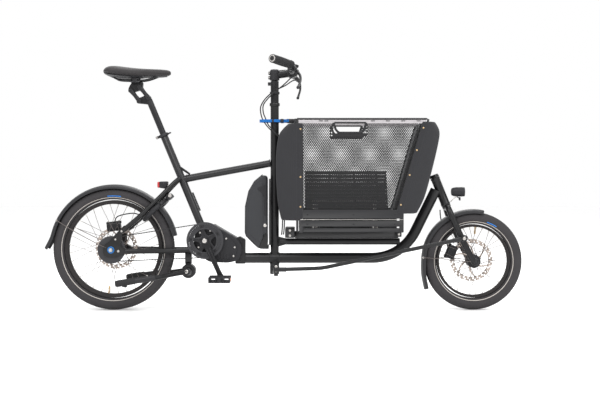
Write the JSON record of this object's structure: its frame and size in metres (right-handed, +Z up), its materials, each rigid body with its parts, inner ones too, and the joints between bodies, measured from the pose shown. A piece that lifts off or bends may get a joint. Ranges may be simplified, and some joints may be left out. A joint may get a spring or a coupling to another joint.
{
  "type": "front-loading cargo bicycle",
  "caption": "Compact front-loading cargo bicycle with a folding perforated basket, belt drive, rod-linked steering, folding stand and sprung seatpost.",
  "frame": {"origin": "middle of the length and width, on the ground", "axes": "+X is forward, +Z is up, and the drive side is towards -Y"},
  "size_m": [1.986, 0.6156, 1.0275],
  "materials": {
    "frame_paint": "satin black powder coat",
    "black_metal": "satin black anodised",
    "black_plastic": "moulded, fine grain",
    "tyre_rubber": "matt, fine tread",
    "wheel_metal": "black rims, bare spokes and discs",
    "lock_steel": "satin",
    "basket_metal": "satin, perforated",
    "basket_frame": "satin",
    "saddle_cover": "smooth synthetic leather",
    "basket_cloth": "coarse coated weave",
    "strap_webbing": "blue webbing",
    "hose_black": "smooth"
  },
  "bodies": {
    "root": {"main_tube": "frame_paint", "cargo_rail": "frame_paint", "steering_column": "frame_paint", "seat_tube": "frame_paint", "top_tube": "frame_paint", "front_head_tube": "frame_paint", "drive_unit": "black_plastic", "battery_pack": "black_plastic", "drive_belt": "hose_black", "rear_stays_right": "frame_paint", "rear_stays_left": "frame_paint", "rear_mudguard": "black_plastic", "rear_light": "black_plastic", "ring_lock_body": "black_plastic", "stand_bracket": "frame_paint", "rear_caliper": "black_metal", "seat_clamp": "black_metal", "basket_base": "basket_frame", "basket_strap": "strap_webbing", "front_brake_hose": "hose_black", "rear_brake_hose": "hose_black"},
    "steering": {"steerer_shaft": "black_metal", "stem": "black_metal", "handlebar": "black_metal", "display_unit": "black_plastic", "steering_arm": "frame_paint"},
    "lever_right": {"brake_lever_right": "basket_frame"},
    "lever_left": {"brake_lever_left": "basket_frame"},
    "tie_rod": {"tie_rod": "frame_paint"},
    "fork": {"fork": "frame_paint", "front_mudguard": "black_plastic", "front_light": "black_plastic", "front_caliper": "black_metal"},
    "front_wheel": {"front_wheel": "wheel_metal", "front_tyre": "tyre_rubber"},
    "rear_wheel": {"rear_wheel": "wheel_metal", "rear_tyre": "tyre_rubber"},
    "crankset": {"crank_arms": "black_metal", "belt_chainring": "black_metal"},
    "rear_sprocket": {"rear_sprocket": "black_metal"},
    "pedal_right": {"pedal_right": "black_plastic"},
    "pedal_left": {"pedal_left": "black_plastic"},
    "stand_leg_right": {"stand_leg_right": "black_metal"},
    "stand_leg_left": {"stand_leg_left": "black_metal"},
    "lock_shackle": {"ring_lock_shackle": "lock_steel"},
    "seatpost": {"seatpost_tube": "black_metal"},
    "seat_link_front": {"seatpost_link_front": "black_metal"},
    "seat_link_rear": {"seatpost_link_rear": "black_metal"},
    "seat": {"seatpost_head": "black_metal", "saddle": "saddle_cover"},
    "strut_right": {"floor_strut_right": "lock_steel"},
    "strut_left": {"floor_strut_left": "lock_steel"},
    "floor_right": {"basket_floor_right": "basket_metal"},
    "floor_left": {"basket_floor_left": "basket_metal"},
    "side_right": {"basket_side_right": "basket_metal", "gusset_rear_right": "basket_cloth", "gusset_front_right": "basket_cloth"},
    "side_left": {"basket_side_left": "basket_metal", "gusset_rear_left": "basket_cloth", "gusset_front_left": "basket_cloth"}
  },
  "joints": [
    {"name": "steering", "type": "hinge", "parent": "root", "child": "steering", "pos_m": [-0.036, 0, 0.5], "axis": [0, 0, 1], "range_deg": [-25, 25], "deforming": ["front_brake_hose", "rear_brake_hose"]},
    {"name": "fork_turn", "type": "hinge", "parent": "root", "child": "fork", "pos_m": [0.654, 0, 0.4935], "axis": [-0.3743, 0, 0.9273], "range_deg": [-24, 24]},
    {"name": "tie_rod_swing", "type": "hinge", "parent": "steering", "child": "tie_rod", "pos_m": [-0.028, -0.105, 0.176], "axis": [-0.0019, 0.0517, 0.9987], "range_deg": [-26, 26]},
    {"name": "front_wheel_spin", "type": "hinge", "parent": "fork", "child": "front_wheel", "pos_m": [0.79, 0, 0.203], "axis": [0, 1, 0], "continuous": true},
    {"name": "rear_wheel_spin", "type": "hinge", "parent": "root", "child": "rear_wheel", "pos_m": [-0.705, 0, 0.253], "axis": [0, 1, 0], "continuous": true},
    {"name": "crank_spin", "type": "hinge", "parent": "root", "child": "crankset", "pos_m": [-0.321, 0, 0.291], "axis": [0, 1, 0], "continuous": true},
    {"name": "rear_sprocket_spin", "type": "hinge", "parent": "root", "child": "rear_sprocket", "pos_m": [-0.705, -0.0565, 0.253], "axis": [0, 1, 0], "continuous": true},
    {"name": "pedal_right_spin", "type": "hinge", "parent": "crankset", "child": "pedal_right", "pos_m": [-0.25336, -0.14, 0.1405], "axis": [0, 1, 0], "continuous": true},
    {"name": "pedal_left_spin", "type": "hinge", "parent": "crankset", "child": "pedal_left", "pos_m": [-0.38864, 0.14, 0.4415], "axis": [0, 1, 0], "continuous": true},
    {"name": "brake_lever_right", "type": "hinge", "parent": "steering", "child": "lever_right", "pos_m": [0.059, -0.15, 0.972], "axis": [-0.754, 0.3385, -0.563], "range_deg": [0, 22], "stiffness_Nm_per_rad": 2},
    {"name": "brake_lever_left", "type": "hinge", "parent": "steering", "child": "lever_left", "pos_m": [0.059, 0.15, 0.972], "axis": [0.754, 0.3385, 0.563], "range_deg": [0, 22], "stiffness_Nm_per_rad": 2},
    {"name": "stand_fold", "type": "hinge", "parent": "root", "child": "stand_leg_right", "pos_m": [-0.394, -0.046, 0.161], "axis": [-0.32, -0.9385, 0.1297], "range_deg": [0, 108]},
    {"name": "stand_leg_left_fold", "type": "hinge", "parent": "root", "child": "stand_leg_left", "pos_m": [-0.394, 0.046, 0.161], "axis": [0.32, -0.9385, -0.1297], "range_deg": [-1, 109]},
    {"name": "lock_shackle_turn", "type": "hinge", "parent": "root", "child": "lock_shackle", "pos_m": [-0.53167, 0, 0.41463], "axis": [-0.682, 0, 0.7314], "range_deg": [0, 60]},
    {"name": "seat_height", "type": "slide", "parent": "root", "child": "seatpost", "axis": [-0.3834, 0, 0.9236], "range_m": [-0.015, 0.1]},
    {"name": "seat_suspension", "type": "hinge", "parent": "seatpost", "child": "seat_link_front", "pos_m": [-0.56151, 0, 0.88154], "axis": [0, -1, 0], "range_deg": [0, 25], "stiffness_Nm_per_rad": 150},
    {"name": "seat_link_rear_turn", "type": "hinge", "parent": "seatpost", "child": "seat_link_rear", "pos_m": [-0.59851, 0, 0.86754], "axis": [0, -1, 0], "range_deg": [-1, 26]},
    {"name": "seat_head_turn", "type": "hinge", "parent": "seat_link_front", "child": "seat", "pos_m": [-0.59751, 0, 0.92554], "axis": [0, -1, 0], "range_deg": [-26, 1]},
    {"name": "basket_unfold", "type": "hinge", "parent": "root", "child": "strut_right", "pos_m": [0.245, 0, 0.335], "axis": [1, 0, 0], "range_deg": [0, 62]},
    {"name": "strut_left_turn", "type": "hinge", "parent": "root", "child": "strut_left", "pos_m": [0.245, 0, 0.335], "axis": [1, 0, 0], "range_deg": [-63, 1]},
    {"name": "floor_right_turn", "type": "hinge", "parent": "strut_right", "child": "floor_right", "pos_m": [0.245, -0.0625, 0.45466], "axis": [1, 0, 0], "range_deg": [-126, 2]},
    {"name": "floor_left_turn", "type": "hinge", "parent": "strut_left", "child": "floor_left", "pos_m": [0.245, 0.0625, 0.45466], "axis": [1, 0, 0], "range_deg": [-2, 126]},
    {"name": "side_right_turn", "type": "hinge", "parent": "floor_right", "child": "side_right", "pos_m": [0.245, -0.125, 0.335], "axis": [1, 0, 0], "range_deg": [-1, 63]},
    {"name": "side_left_turn", "type": "hinge", "parent": "floor_left", "child": "side_left", "pos_m": [0.245, 0.125, 0.335], "axis": [1, 0, 0], "range_deg": [-63, 1]}
  ],
  "couplings": [
    {"joint": "fork_turn", "follows": "steering", "ratio": 0.9333},
    {"joint": "tie_rod_swing", "follows": "steering", "ratio": -1.007},
    {"joint": "rear_sprocket_spin", "follows": "crank_spin", "ratio": 1.4632},
    {"joint": "stand_leg_left_fold", "follows": "stand_fold", "ratio": 1},
    {"joint": "seat_link_rear_turn", "follows": "seat_suspension", "ratio": 1},
    {"joint": "seat_head_turn", "follows": "seat_suspension", "ratio": -1},
    {"joint": "strut_left_turn", "follows": "basket_unfold", "ratio": -1},
    {"joint": "floor_right_turn", "follows": "basket_unfold", "ratio": -2},
    {"joint": "floor_left_turn", "follows": "basket_unfold", "ratio": 2},
    {"joint": "side_right_turn", "follows": "basket_unfold", "ratio": 1},
    {"joint": "side_left_turn", "follows": "basket_unfold", "ratio": -1}
  ]
}
